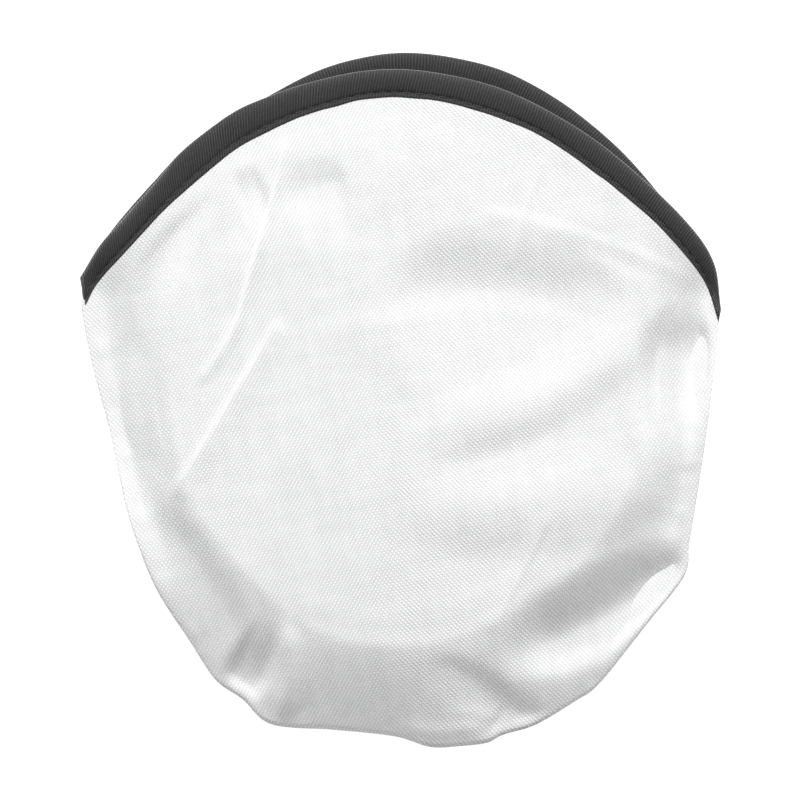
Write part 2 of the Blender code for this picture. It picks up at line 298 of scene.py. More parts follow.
def painted_crease_highlight(x, y):
    """How much painted highlight lightens the cloth along its pressed creases, from 0 to 1."""
    unlit_height, fully_lit_height = CREASE_HIGHLIGHT_HEIGHTS
    crease_highlight = np.zeros(x.shape)
    for points, height, _, _ in CREASES:
        away, along = nearest_on_path(x, y, fold_path(points))
        ends = ramp(along, 0, FOLD_FADE) * ramp(1 - along, 0, FOLD_FADE)
        wear_and_highlight = min((height - unlit_height) / (fully_lit_height - unlit_height), 1)
        crease_highlight = np.maximum(crease_highlight, wear_and_highlight * ends * ramp(1 - np.abs(away) / CREASE_HIGHLIGHT_WIDTH, 0, 1))
    return crease_highlight


def gather_height(inside, along, length):
    """What the gathers along the seam add, inside being the distance from the seam."""
    height = np.zeros(inside.shape)
    for place, rise, half_width, reach in GATHERS:
        flank = ramp(1 - np.abs(along - place) * length / half_width, 0, 1)
        height += rise * flank * ramp(reach - inside, 0, reach) * ramp(inside, *GATHER_FADE)
    return height


def seam_height(x, y):
    """The middle of the seam, which the disc between the two cloths holds off the ground."""
    sag = ramp(-y, *SEAM_SAG_BAND)
    height = SIDE_SEAM_HEIGHT + (BOTTOM_SEAM_HEIGHT - SIDE_SEAM_HEIGHT) * sag
    height = height + SEAM_UNEVENNESS * value_noise(x, y, size=13, seed=9)
    for place_x, place_y, rise, reach in SEAM_LIFTS:
        height = height + rise * ramp(1 - np.hypot(x - place_x, y - place_y) / reach, 0, 1)
    return height


def higher(one, other):
    """The higher of two heights, rounded where they cross."""
    return (one + other + np.sqrt((one - other) ** 2 + DRAPE_ROUNDING**2)) / 2


def over_disc(x, y):
    """The lowest that the front cloth's middle may lie over the three loops of the disc's rim."""
    turn = np.arctan2(y - DISC_Y, x)
    out = np.hypot(x, y - DISC_Y)
    lowest = np.zeros(x.shape)
    for loop in range(LOOPS):
        share = (turn + math.tau * loop) / LOOPS
        beside = np.maximum(np.abs(out - LOOP_RADIUS - LOOP_SPREAD * np.cos(share)) - TAPE_OUTER, 0)
        top = DISC_HEIGHT + LOOP_LIFT * np.sin(share) + TAPE_OUTER + DISC_CLEARANCE
        lowest = np.maximum(lowest, top - DRAPE_SLOPE * beside)
    return lowest


def from_seam(x, y):
    """How far inside the seam a point lies, and how far along the seam, as a share."""
    away, along = nearest_on_path(x, y, smooth_path(SEAM_OUTLINE, 110))
    return np.abs(away), along


def front_base(x, y, inside):
    """The front cloth's height without its folds: arched over the disc, and falling to the seam."""
    down = np.minimum(y - BULGE_CENTRE[1], 0) * BULGE_SHORTENING
    out = np.hypot(x - BULGE_CENTRE[0], down) + BULGE_WANDER * value_noise(x, y, size=17, seed=11)
    beyond = np.maximum(out - BULGE_REACH, 0)
    never_zero = 0.01
    share = beyond / (beyond + inside + never_zero)
    from_crest = y - CREST_Y
    crest = CREST_HEIGHT - np.where(from_crest > 0, MOUTH_FALL, BOTTOM_FALL) * from_crest**2
    low_down = ramp(-y, *BOTTOM_FALL_BAND)
    fall = (1 - low_down) * ramp(share, 0, SIDE_FALL_END) + low_down * share**BOTTOM_FALL_POWER
    return crest + (seam_height(x, y) + CLOTH / 2 - crest) * fall


def front_height(x, y):
    """The middle of the front cloth. It is smooth near the mouth, where the binding holds it."""
    inside, along = from_seam(x, y)
    from_mouth, _ = nearest_on_path(x, y, smooth_path(FRONT_LIP_OUTLINE, 90))
    loose = ramp(np.abs(from_mouth), *BINDING_HOLD) * (from_mouth < 0)
    folds = 0.22 * value_noise(x, y, size=15, seed=3) + 0.035 * value_noise(x, y, size=3.1, seed=5)
    for fold in FOLDS:
        folds += fold_height(x, y, fold, FOLD_FADE)
    for crease in CREASES:
        folds += fold_height(x, y, crease, CREASE_FADE)
    height = front_base(x, y, inside) + folds * loose * ramp(inside, 0, SEAM_HOLD)
    height += gather_height(inside, along, SEAM_LENGTH)
    height = higher(height, over_disc(x, y))
    return height + SEAM_ROUNDING * (np.sqrt(np.clip(inside / SEAM_ROUNDING, 0, 1)) - 1)


def back_height(x, y):
    """The middle of the back cloth: flat on the ground, and turned up towards the seam."""
    inside, along = from_seam(x, y)
    rise = np.clip(1 - inside / BACK_TURN_UP, 0, 1) ** 3
    height = BACK_CLOTH_HEIGHT + (seam_height(x, y) - CLOTH / 2 - BACK_CLOTH_HEIGHT) * rise
    return height + 0.5 * np.abs(gather_height(inside, along, SEAM_LENGTH)) * ramp(inside, 2, 6)


# ---------------------------------------------------------------- meshes

def grid_mesh(name, points, uv=None, close_u=False, close_v=False):
    """A mesh from an array of points, rows by columns by 3, in millimetres, with its UV map in metres."""
    rows, columns = points.shape[:2]
    index = np.arange(rows * columns).reshape(rows, columns)
    next_row = np.roll(index, -1, axis=0) if close_v else index[1:]
    this_row = index if close_v else index[:-1]
    if close_u:
        a, b = this_row, np.roll(this_row, -1, axis=1)
        d, c = next_row, np.roll(next_row, -1, axis=1)
    else:
        a, b = this_row[:, :-1], this_row[:, 1:]
        d, c = next_row[:, :-1], next_row[:, 1:]
    faces = np.stack([a, b, c, d], axis=-1).reshape(-1, 4)
    mesh = bpy.data.meshes.new(name)
    mesh.from_pydata((points.reshape(-1, 3) * MM).tolist(), [], faces.tolist())
    if uv is not None:
        layer = mesh.uv_layers.new(name="cloth")
        corners = np.zeros(len(mesh.loops), np.int32)
        mesh.loops.foreach_get("vertex_index", corners)
        layer.data.foreach_set("uv", (uv.reshape(-1, 2)[corners] * MM).astype(np.float32).ravel())
    mesh.shade_smooth()
    made = bpy.data.objects.new(name, mesh)
    bpy.context.scene.collection.objects.link(made)
    return made


def thicken(piece, thickness, offset):
    """Makes an open sheet a closed one, for good."""
    solid = piece.modifiers.new("Thickness", "SOLIDIFY")
    solid.thickness = thickness * MM
    solid.offset = offset
    apply_modifiers(piece)


def apply_modifiers(piece):
    graph = bpy.context.evaluated_depsgraph_get()
    mesh = bpy.data.meshes.new_from_object(piece.evaluated_get(graph), depsgraph=graph)
    piece.modifiers.clear()
    piece.data = mesh


# ---------------------------------------------------------------- materials

class Nodes:
    """A few words for building a node tree."""

    def __init__(self, name):
        self.material = bpy.data.materials.new(name)
        self.material.use_nodes = True
        self.tree = self.material.node_tree
        self.shader = self.tree.nodes["Principled BSDF"]

    def add(self, kind, **settings):
        node = self.tree.nodes.new(kind)
        for key, value in settings.items():
            setattr(node, key, value)
        return node

    def link(self, source, target):
        self.tree.links.new(source, target)

    def math(self, operation, first, second=None):
        node = self.add("ShaderNodeMath", operation=operation)
        for socket, value in zip(node.inputs, (first, second)):
            if isinstance(value, (int, float)):
                socket.default_value = value
            elif value is not None:
                self.link(value, socket)
        return node.outputs[0]

    def uv(self, turn=0.0):
        source = self.add("ShaderNodeTexCoord")
        mapping = self.add("ShaderNodeMapping")
        mapping.inputs["Rotation"].default_value = (0, 0, turn)
        self.link(source.outputs["UV"], mapping.inputs["Vector"])
        return mapping.outputs["Vector"]

    def mix(self, *parts):
        """The sum of values, each given with its weight."""
        total = None
        for value, weight in parts:
            share = self.math("MULTIPLY", value, weight)
            total = share if total is None else self.math("ADD", total, share)
        return total

    def split(self, vector):
        node = self.add("ShaderNodeSeparateXYZ")
        self.link(vector, node.inputs[0])
        return node.outputs

    def noise(self, vector, size, detail=3.0, stretch=(1, 1, 1)):
        """Noise with features of this size in metres."""
        mapping = self.add("ShaderNodeMapping")
        mapping.inputs["Scale"].default_value = stretch
        self.link(vector, mapping.inputs["Vector"])
        node = self.add("ShaderNodeTexNoise")
        node.inputs["Scale"].default_value = 1 / size
        node.inputs["Detail"].default_value = detail
        self.link(mapping.outputs["Vector"], node.inputs["Vector"])
        return node.outputs["Fac"]

    def colours(self, value, stops):
        ramp_node = self.add("ShaderNodeValToRGB")
        elements = ramp_node.color_ramp.elements
        while len(elements) < len(stops):
            elements.new(0.5)
        for element, (place, colour) in zip(elements, stops):
            element.position = place
            element.color = (*colour, 1)
        self.link(value, ramp_node.inputs["Fac"])
        return ramp_node.outputs["Color"]

    def scale(self, value, low, high, to_low, to_high):
        node = self.add("ShaderNodeMapRange")
        for socket, number in zip(list(node.inputs)[1:5], (low, high, to_low, to_high)):
            socket.default_value = number
        self.link(value, node.inputs[0])
        return node.outputs[0]

    def bump(self, height, distance, strength=1.0, under=None):
        node = self.add("ShaderNodeBump")
        node.inputs["Distance"].default_value = distance
        node.inputs["Strength"].default_value = strength
        self.link(height, node.inputs["Height"])
        if under is not None:
            self.link(under, node.inputs["Normal"])
        return node.outputs["Normal"]

    def finish(self, colour=None, roughness=None, normal=None, **constants):
        sockets = self.shader.inputs
        if colour is not None:
            self.link(colour, sockets["Base Color"])
        if roughness is not None:
            self.link(roughness, sockets["Roughness"])
        if normal is not None:
            self.link(normal, sockets["Normal"])
        for name, value in constants.items():
            sockets[name.replace("_", " ")].default_value = value
        return self.material


def weave(nodes, vector, warp_pitch, weft_pitch, skew):
    """Plain weave: how high the yarn stands, from 0 in the gaps, and which yarn is on top, from -1 to 1.

    skew goes from 0 to 1: the cloth is pulled askew, so that one diagonal or the other shows more.
    """
    x, y, _ = nodes.split(vector)
    warp = nodes.math("MULTIPLY", x, math.pi / (warp_pitch * MM))
    weft = nodes.math("MULTIPLY", y, math.pi / (weft_pitch * MM))
    both = nodes.math("MULTIPLY", nodes.math("SINE", warp), nodes.math("SINE", weft))
    crown = nodes.math("POWER", nodes.math("ABSOLUTE", both), 0.55)
    rising = nodes.math("COSINE", nodes.math("SUBTRACT", warp, weft))
    falling = nodes.math("COSINE", nodes.math("ADD", warp, weft))
    rising = nodes.math("MULTIPLY", rising, skew)
    falling = nodes.math("MULTIPLY", falling, nodes.math("SUBTRACT", 1.0, skew))
    return crown, nodes.math("SUBTRACT", rising, falling)


def pulled_askew(nodes, place):
    """How the cloth is pulled askew, by the place across the pouch."""
    x, _, _ = nodes.split(place)
    wander = nodes.math("MULTIPLY", nodes.noise(place, 22 * MM, 1.0), 14 * MM)
    shift = nodes.math("ADD", x, wander)
    share = nodes.scale(shift, -50 * MM, 64 * MM, 0, 1)
    left = [(0.0, 0.42), (0.14, 0.58), (0.24, 0.70), (0.42, 0.70)]
    right = [(0.52, 0.30), (0.78, 0.32), (0.93, 0.5)]
    return nodes.colours(share, [(where, (value, value, value)) for where, value in left + right])


def white_cloth_material():
    nodes = Nodes("white_polyester_weave")
    vector = nodes.uv(WEAVE_TURN)
    crown, over = weave(nodes, vector, WARP_PITCH, WEFT_PITCH, pulled_askew(nodes, nodes.uv()))
    slub = nodes.noise(vector, 2.4 * MM, 2.0, (1, 0.12, 1))
    cross_slub = nodes.noise(vector, 2.4 * MM, 2.0, (0.12, 1, 1))
    cloudy = nodes.noise(vector, 16 * MM, 3.0)
    # Painted highlight: the colour is lightened along the pressed creases, where they would catch the light.
    crease_highlight = nodes.add("ShaderNodeAttribute", attribute_name="crease_highlight").outputs["Fac"]
    yarns = [(crown, 0.20), (over, 0.20), (slub, 0.11), (cross_slub, 0.09)]
    tone = nodes.mix(*yarns, (cloudy, 0.10), (crease_highlight, 0.16))
    # Partly painted light: the yarns' own tone and pattern, with painted shade in the gaps between the yarns
    # and a painted highlight on their crowns.
    shaded_gaps = (0.55, 0.553, 0.56)
    cloth = (0.82, 0.822, 0.824)
    shine = (0.95, 0.95, 0.95)
    colour = nodes.colours(tone, [(0.0, shaded_gaps), (0.28, cloth), (0.61, shine)])
    height = nodes.mix((crown, 0.6), (over, 0.5))
    normal = nodes.bump(nodes.noise(vector, 1.1 * MM, 3.0), 0.03 * MM, 0.6)
    normal = nodes.bump(height, 0.06 * MM, 0.9, normal)
    roughness = nodes.scale(slub, 0.3, 0.7, 0.50, 0.64)
    sheen = {"Sheen_Weight": 0.15, "Sheen_Roughness": 0.4}
    return nodes.finish(colour, roughness, normal, Specular_IOR_Level=0.4, **sheen)


def black_tape_material():
    """Ribbed tape. Its UV runs along the tape in U and across it in V."""
    nodes = Nodes("black_ribbed_tape")
    vector = nodes.uv()
    x, y, _ = nodes.split(vector)
    wobble = nodes.math("MULTIPLY", nodes.noise(vector, 4 * MM, 2.0), 0.5 * MM)
    along = nodes.math("ADD", x, wobble)
    rib = nodes.math("SINE", nodes.math("MULTIPLY", along, math.tau / (RIB_PITCH * MM)))
    pick = nodes.math("SINE", nodes.math("MULTIPLY", y, math.tau / (PICK_PITCH * MM)))
    grain = nodes.math("MULTIPLY", rib, nodes.scale(pick, -1, 1, 0.55, 1.0))
    fuzz = nodes.noise(vector, 0.5 * MM, 4.0)
    patches = nodes.noise(vector, 7 * MM, 3.0)
    tone = nodes.mix((nodes.scale(grain, -1, 1, 0, 1), 0.45), (fuzz, 0.35), (patches, 0.2))
    # Partly painted light: the tape's own ribs and tone, with painted shade between the ribs and a painted
    # highlight on their tops.
    shaded_gaps = (0.008, 0.008, 0.009)
    yarn = (0.030, 0.030, 0.032)
    shine = (0.090, 0.090, 0.093)
    colour = nodes.colours(tone, [(0.15, shaded_gaps), (0.5, yarn), (0.9, shine)])
    normal = nodes.bump(fuzz, 0.05 * MM, 0.7)
    normal = nodes.bump(grain, 0.08 * MM, 0.9, normal)
    roughness = nodes.scale(patches, 0.3, 0.7, 0.62, 0.8)
    sheen = {"Sheen_Weight": 0.35, "Sheen_Roughness": 0.35}
    return nodes.finish(colour, roughness, normal, Specular_IOR_Level=0.35, **sheen)


def thread_material(name, dark, light):
    """Twisted thread. Its UV runs along it in U and round it in V."""
    nodes = Nodes(name)
    vector = nodes.uv()
    x, y, _ = nodes.split(vector)
    lay = nodes.mix((x, math.tau / (0.35 * MM)), (y, math.tau / (0.4 * MM)))
    strand = nodes.math("SINE", lay)
    fuzz = nodes.noise(vector, 0.2 * MM, 2.0)
    # Painted shade in the grooves between the twisted strands and a painted highlight on their ridges, over
    # the thread's own colour.
    tone = nodes.mix((nodes.scale(strand, -1, 1, 0, 1), 0.7), (fuzz, 0.3))
    colour = nodes.colours(tone, [(0.1, dark), (0.9, light)])
    normal = nodes.bump(strand, 0.04 * MM, 0.8)
    roughness = nodes.scale(fuzz, 0.3, 0.7, 0.45, 0.65)
    return nodes.finish(colour, roughness, normal, Specular_IOR_Level=0.45, Sheen_Weight=0.2)


def floor_material():
    nodes = Nodes("pale_floor")
    source = nodes.add("ShaderNodeTexCoord")
    speckle = nodes.noise(source.outputs["Object"], 90 * MM, 2.0)
    colour = nodes.colours(speckle, [(0.3, (0.90, 0.90, 0.90)), (0.7, (0.92, 0.92, 0.92))])
    roughness = nodes.scale(speckle, 0.3, 0.7, 0.85, 0.95)
    nodes.link(colour, nodes.shader.inputs["Emission Color"])
    return nodes.finish(colour, roughness, Specular_IOR_Level=0.0, Emission_Strength=FLOOR_GLOW)


# ---------------------------------------------------------------- the pouch's cloth

def between(lower, upper, shares):
    """Points from one path to another, one row for each share."""
    return lower[None] + (upper - lower)[None] * shares[:, None, None]


def front_mouth_middle(count):
    """Where the front cloth ends, inside its binding."""
    roll = smooth_path(FRONT_ROLL_OUTLINE, count)
    lip = smooth_path(FRONT_LIP_OUTLINE, count)
    depth = 0.6
    return lip + (roll - lip) * depth


def build_front_cloth(material):
    columns, rows = 290, 170
    seam = smooth_path(SEAM_OUTLINE, columns)
    mouth = front_mouth_middle(columns)
    closer_to_seam = 0.95
    flat = between(seam, mouth, np.linspace(0, 1, rows) ** closer_to_seam)
    x, y = flat[..., 0], flat[..., 1]
    height = front_height(x, y)
    piece = grid_mesh("front_cloth", np.dstack([x, y, height]), flat)
    # The painted highlight along the creases, which the cloth's material lightens its colour by.
    crease_highlight = piece.data.attributes.new("crease_highlight", "FLOAT", "POINT")
    crease_highlight.data.foreach_set("value", painted_crease_highlight(x, y).astype(np.float32).ravel())
    piece.data.materials.append(material)
    thicken(piece, CLOTH, 0)
    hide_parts("pouch_front_panel", "front_lip_panel")
    across_lip(piece)


def build_back_cloth(material):
    columns, rows = 260, 150
    seam = smooth_path(SEAM_OUTLINE, columns)
    mouth = smooth_path(BACK_ROLL_OUTLINE, columns)
    inner = mouth - ROLL_WIDTH / 2 * leftward(mouth)
    share = np.linspace(0, 1, rows)
    flat = between(seam, inner, share)
    x, y = flat[..., 0], flat[..., 1]
    height = back_height(x, y) + BACK_BINDING_LIFT * ramp(share, 0.9, 1.0)[:, None]
    piece = grid_mesh("back_cloth", np.dstack([x, y, height]), flat)
    piece.data.materials.append(material)
    thicken(piece, CLOTH, 0)
    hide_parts("pouch_back_panel")
    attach(piece, "pouch")


def leftward(path):
    """Unit vectors square to a path, to its left: out of the pouch along its mouth, into it at the seam."""
    run = np.gradient(path, axis=0)
    side = np.column_stack([-run[:, 1], run[:, 0]])
    return side / np.linalg.norm(side, axis=1)[:, None]


def across_lip(piece):
    """Bakes the piece's placement into its mesh."""
    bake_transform(piece)


# ---------------------------------------------------------------- bindings

def roll_section(count):
    """The folded tape's section as (across, up), once round.

    across goes from 0 at its lip to 1 at its rolled edge. The lip is a low bead, then comes the groove of
    the stitches, and from there the tape arches up and rolls over.
    """
    bead_end, groove_end, arch_top = 0.13, 0.22, 0.62
    underside = -0.8
    top = []
    for share in np.linspace(0, 1, count):
        arch = (share - groove_end) / (1 - groove_end)
        if share < bead_end:
            up = 0.34 * math.sin(math.pi * (0.18 + 0.64 * share / bead_end))
        elif share < groove_end:
            dip = (share - bead_end) / (groove_end - bead_end)
            up = 0.31 - 0.08 * math.sin(math.pi * dip) + 0.10 * dip
        elif arch <= arch_top:
            up = 0.41 + 0.62 * math.sin(math.pi / 2 * arch / arch_top) ** 0.8
        else:
            up = 1.03 * math.sqrt(max(1 - ((arch - arch_top) / (1 - arch_top)) ** 2, 0))
        top.append((share, up))
    under = [(share, underside * up) for share, up in reversed(top[1:-1])]
    return np.array(top + under)


def build_roll(name, lip, roll, height, material, thickness, end_taper, seed):
    """A rolled binding between its lip's path and its rolled edge's path, on the given height of cloth.

    It thins out over end_taper at both ends.
    """
    section = roll_section(30)
    count = len(lip)
    along = length_along((lip + roll) / 2)
    side = (roll - lip) / np.linalg.norm(roll - lip, axis=1)[:, None]
    uneven = 0.10 * value_noise(along, 0 * along, size=3.7, seed=seed)
    plump = 1 + 0.10 * value_noise(along, 0 * along, size=9.0, seed=seed + 2)
    thinnest = 0.02
    ends = np.sqrt(np.clip(np.minimum(along, along[-1] - along) / end_taper, thinnest, 1))
    pull = 1 - 0.5 * np.cos(math.tau * along / STITCH_PITCH)
    lip_reach, groove_depth, groove_width = 0.16, 0.35, 0.05
    points = np.zeros((count, len(section), 3))
    uv = np.zeros((count, len(section), 2))
    for column, (across, up) in enumerate(section):
        near_lip = np.clip(1 - across / lip_reach, 0, 1)
        place = lip + (roll - lip) * across - side * (uneven * near_lip)[:, None]
        in_groove = math.exp(-((across - BINDING_GROOVE) / groove_width) ** 2)
        lift = up * thickness * plump * ends * (1 - groove_depth * pull * in_groove)
        points[:, column, :2] = place
        points[:, column, 2] = height(place[:, 0], place[:, 1]) + lift
        uv[:, column, 0] = along
        uv[:, column, 1] = column * 2 * ROLL_WIDTH / len(section)
    piece = grid_mesh(name, points, uv, close_u=True)
    piece.data.materials.append(material)
    cap_ends(piece.data, count, len(section))
    return piece


def cap_ends(mesh, rows, columns):
    """Closes a tube's two ends with one face each."""
    cage = bmesh.new()
    cage.from_mesh(mesh)
    cage.verts.ensure_lookup_table()
    last_row = (rows - 1) * columns
    cage.faces.new([cage.verts[i] for i in range(columns)])
    cage.faces.new([cage.verts[last_row + i] for i in reversed(range(columns))])
    bmesh.ops.recalc_face_normals(cage, faces=cage.faces)
    cage.to_mesh(mesh)
    cage.free()
    mesh.shade_smooth()


def thread_tube(path, diameter, sides=8):
    """The points and UV of a piece of thread along a path of 3D points, in rows across it."""
    run = np.gradient(path, axis=0)
    run /= np.linalg.norm(run, axis=1)[:, None]
    side = np.cross(run, [0, 0, 1.0])
    side /= np.linalg.norm(side, axis=1)[:, None]
    up = np.cross(side, run)
    turn = np.arange(sides) * math.tau / sides
    along = length_along(path)
    narrowest = 0.15
    rounding = np.clip(np.minimum(along, along[-1] - along) / (diameter / 2), narrowest, 1)
    radius = diameter / 2 * np.sqrt(rounding)
    ring = side[:, None] * np.cos(turn)[None, :, None] + up[:, None] * np.sin(turn)[None, :, None]
    points = path[:, None] + ring * radius[:, None, None]
    uv = np.dstack(np.broadcast_arrays(along[:, None], turn[None] * diameter / 2))
    return points, uv


def join_threads(name, threads, material):
    """Many short threads as one object, each closed at its ends."""
    vertices, faces, uvs = [], [], []
    for points, uv in threads:
        rows, columns = points.shape[:2]
        base = sum(len(block) for block in vertices)
        index = np.arange(rows * columns).reshape(rows, columns) + base
        side = np.roll(index, -1, axis=1)
        quads = np.stack([index[:-1], side[:-1], side[1:], index[1:]], axis=-1).reshape(-1, 4)
        faces += quads.tolist() + [index[0, ::-1].tolist(), index[-1].tolist()]
        vertices.append(points.reshape(-1, 3))
        uvs.append(uv.reshape(-1, 2))
    mesh = bpy.data.meshes.new(name)
    mesh.from_pydata((np.vstack(vertices) * MM).tolist(), [], faces)
    layer = mesh.uv_layers.new(name="thread")
    corners = np.zeros(len(mesh.loops), np.int32)
    mesh.loops.foreach_get("vertex_index", corners)
    layer.data.foreach_set("uv", (np.vstack(uvs)[corners] * MM).astype(np.float32).ravel())
    mesh.shade_smooth()
    made = bpy.data.objects.new(name, mesh)
    made.data.materials.append(material)
    bpy.context.scene.collection.objects.link(made)
    return made


def stitch_row(path, lift):
    """One stitch after another along a path of 3D points: each rises out of the cloth and dives back in."""
    along = length_along(path)
    stitches = []
    place = STITCH_PITCH
    while place + STITCH_LENGTH < along[-1]:
        share = np.linspace(0, 1, 9)
        where = place + share * STITCH_LENGTH
        points = np.column_stack([np.interp(where, along, path[:, i]) for i in range(3)])
        arch = np.sin(math.pi * share)
        points[:, 2] += lift * np.sqrt(arch) - STITCH_DIVE * (1 - arch)
        stitches.append(thread_tube(points, STITCH_THREAD))
        place += STITCH_PITCH
    return stitches


def groove_stitches(name, lip, roll, height, thread):
    """The stitches that lie in a binding's groove, on the given height of cloth."""
    groove = lip + (roll - lip) * BINDING_GROOVE
    path = np.column_stack([groove, height(groove[:, 0], groove[:, 1]) + STITCH_HEIGHT])
    return join_threads(name, stitch_row(path, STITCH_ARCH), thread)


def build_front_binding(tape, thread):
    count = 760
    lip = smooth_path(FRONT_LIP_OUTLINE, count)
    roll = smooth_path(FRONT_ROLL_OUTLINE, count)

    def height(x, y):
        return front_base(x, y, from_seam(x, y)[0])

    piece = build_roll("front_mouth_roll", lip, roll, height, tape, thickness=1.0, end_taper=1.2, seed=31)
    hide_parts("front_mouth_binding")
    across_lip(piece)
    stitches = groove_stitches("front_mouth_stitches", lip, roll, height, thread)
    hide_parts("front_binding_stitching")
    across_lip(stitches)


def build_back_binding(tape, thread):
    count = 640
    roll = smooth_path(BACK_ROLL_OUTLINE, count)
    share = np.linspace(0, 1, count)
    end_width, end_reach = 0.3, 0.09
    narrowing = end_width + (1 - end_width) * ramp(np.minimum(share, 1 - share), 0, end_reach)
    lip = roll - BACK_ROLL_WIDTH * narrowing[:, None] * leftward(roll)

    def height(x, y):
        off_seam = ramp(from_seam(x, y)[0], 1, 9)
        return back_height(x, y) + BACK_BINDING_LIFT * off_seam - BACK_CORNER_SINK * (1 - off_seam)

    piece = build_roll("back_mouth_roll", lip, roll, height, tape, thickness=0.95, end_taper=14.0, seed=51)
    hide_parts("back_mouth_binding")
    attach(piece, "pouch")
    stitches = groove_stitches("back_mouth_stitches", lip, roll, height, thread)
    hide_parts("back_binding_stitching")
    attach(stitches, "pouch")


def build_seam_stitches(thread):
    """The lockstitches that close the turned seam, deep in its groove."""
    seam = smooth_path(SEAM_OUTLINE, 500)
    groove = seam + SEAM_ROUNDING * leftward(seam)
    path = np.column_stack([groove, seam_height(groove[:, 0], groove[:, 1])])
    piece = join_threads("side_seam_stitches", stitch_row(path, 0.0), thread)
    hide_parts("side_seam_cord")
    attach(piece, "pouch")


# ---------------------------------------------------------------- the folded disc

def loop_point(turn, inward, up):
    """A point on the coiled ring at this turn in radians, moved in towards the middle and up."""
    radius = LOOP_RADIUS + LOOP_SPREAD * np.cos(turn / LOOPS) - inward
    height = DISC_HEIGHT + LOOP_LIFT * np.sin(turn / LOOPS) + up
    return np.stack([radius * np.cos(turn), DISC_Y + radius * np.sin(turn), height], axis=-1)


def tape_section():
    """The rim tape's section as (inward, up), once round: over the wire, along the flaps and back inside."""
    turn = np.linspace(-math.pi / 2, math.pi / 2, 13)
    outer = np.column_stack([-TAPE_OUTER * np.cos(turn), TAPE_OUTER * np.sin(turn)])
    inner = np.column_stack([-TAPE_INNER * np.cos(turn), TAPE_INNER * np.sin(turn)])
    share = np.linspace(0, 1, 9)[1:]
    inward = RIM_FLAP * share
    outside = FLAP_GAP + (TAPE_OUTER - FLAP_GAP) * np.cos(share * math.pi / 2) ** 0.9
    inside = outside - (TAPE_OUTER - TAPE_INNER)
    top_out, top_in = np.column_stack([inward, outside]), np.column_stack([inward, inside])[::-1]
    low_in, low_out = top_in[::-1] * (1, -1), top_out[::-1] * (1, -1)
    return np.vstack([outer, top_out, top_in, inner[::-1], low_in, low_out])


def build_rim_tape(material):
    section = tape_section()
    steps = 1080
    turn = np.arange(steps) * math.tau * LOOPS / steps
    # The flaps ripple in 23 and in 41 whole waves round the three loops.
    ripple = 0.10 * np.sin(turn * 23 / LOOPS + 0.7) + 0.07 * np.sin(turn * 41 / LOOPS)
    points = np.zeros((steps, len(section), 3))
    uv = np.zeros((steps, len(section), 2))
    around = length_along(section)
    for column, (inward, up) in enumerate(section):
        slack = max(inward, 0) / RIM_FLAP
        points[:, column] = loop_point(turn, inward + 0.5 * slack * ripple, up + slack * ripple)
        uv[:, column, 0] = turn * LOOP_RADIUS
        uv[:, column, 1] = around[column]
    piece = grid_mesh("disc_rim_tape", points, uv, close_u=True, close_v=True)
    piece.data.materials.append(material)
    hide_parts("rim_tape")
    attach(piece, "folded_disc")


def build_rim_stitches(material):
    """Lockstitches on both faces of the rim tape."""
    turn = np.linspace(0, math.tau * LOOPS, 1600)
    height = FLAP_GAP + RIM_THREAD_RISE
    rows = []
    for up, arch in ((height, RIM_THREAD_ARCH), (-height, -RIM_THREAD_ARCH)):
        rows += stitch_row(loop_point(turn, RIM_THREAD_INSET, up), arch)
    piece = join_threads("disc_rim_stitches", rows, material)
    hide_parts("rim_stitching")
    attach(piece, "folded_disc")


def innermost(turn):
    """The least cosine among the three loops at this turn: the loop that lies nearest to the middle."""
    return np.min([np.cos((turn + math.tau * loop) / LOOPS) for loop in range(LOOPS)], axis=0)


def build_disc_cloth(material):
    """The disc's cloth, which is bunched in three layers of pleats between the loops of the coiled rim."""
    spokes, rings = 980, 100
    turn = (np.arange(spokes) * math.tau * LOOPS / spokes)[None, :]
    closer_to_rim = 0.8
    out = np.linspace(0.001, 1, rings)[:, None] ** closer_to_rim
    between_flaps = 1.0
    edge = LOOP_RADIUS + LOOP_SPREAD * np.cos(turn / LOOPS) - RIM_FLAP + between_flaps
    radius = out * edge
    inner_edge = LOOP_RADIUS + LOOP_SPREAD * innermost(turn) - RIM_FLAP
    loose = ramp(inner_edge - radius, 0.3, 4.5)
    drift = CLOTH_DRIFT * out * (1 - out)
    x = radius * np.cos(turn) + drift * np.cos(turn / LOOPS + 0.6)
    y = radius * np.sin(turn) + drift * np.sin(2 * turn / LOOPS)
    # The layers are pleated together, so each follows the one below it.
    wander = 7.0 * value_noise(x, y, size=19, seed=61) + 1.8 * value_noise(x, y, size=6, seed=63)
    across = x * math.cos(PLEAT_TURN) + y * math.sin(PLEAT_TURN)
    pleat = math.tau * across / PLEAT_SPACING + wander
    swing = np.sin(pleat) + 0.35 * np.sin(1.63 * pleat + 2.0 * wander)
    crumple = value_noise(x, y, size=7, seed=62)
    height = PLEAT_HEIGHT * loose * (swing * (0.8 + 0.35 * crumple) + 0.6 * crumple)
    layer = DISC_HEIGHT + LOOP_LIFT * np.sin(turn / LOOPS) * (0.55 + 0.45 * out)
    low, high = DISC_CLOTH_REACH
    z = low + (high - low) / 2 * (1 + np.tanh((layer + height - DISC_HEIGHT) / PRESS_SOFTNESS))
    y = y + DISC_Y
    uv = np.dstack(np.broadcast_arrays(turn * LOOP_RADIUS * 0.7, radius))
    piece = grid_mesh("disc_cloth", np.dstack([x, y, z]), uv, close_u=True)
    piece.data.materials.append(material)
    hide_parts("disc_membrane")
    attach(piece, "folded_disc")


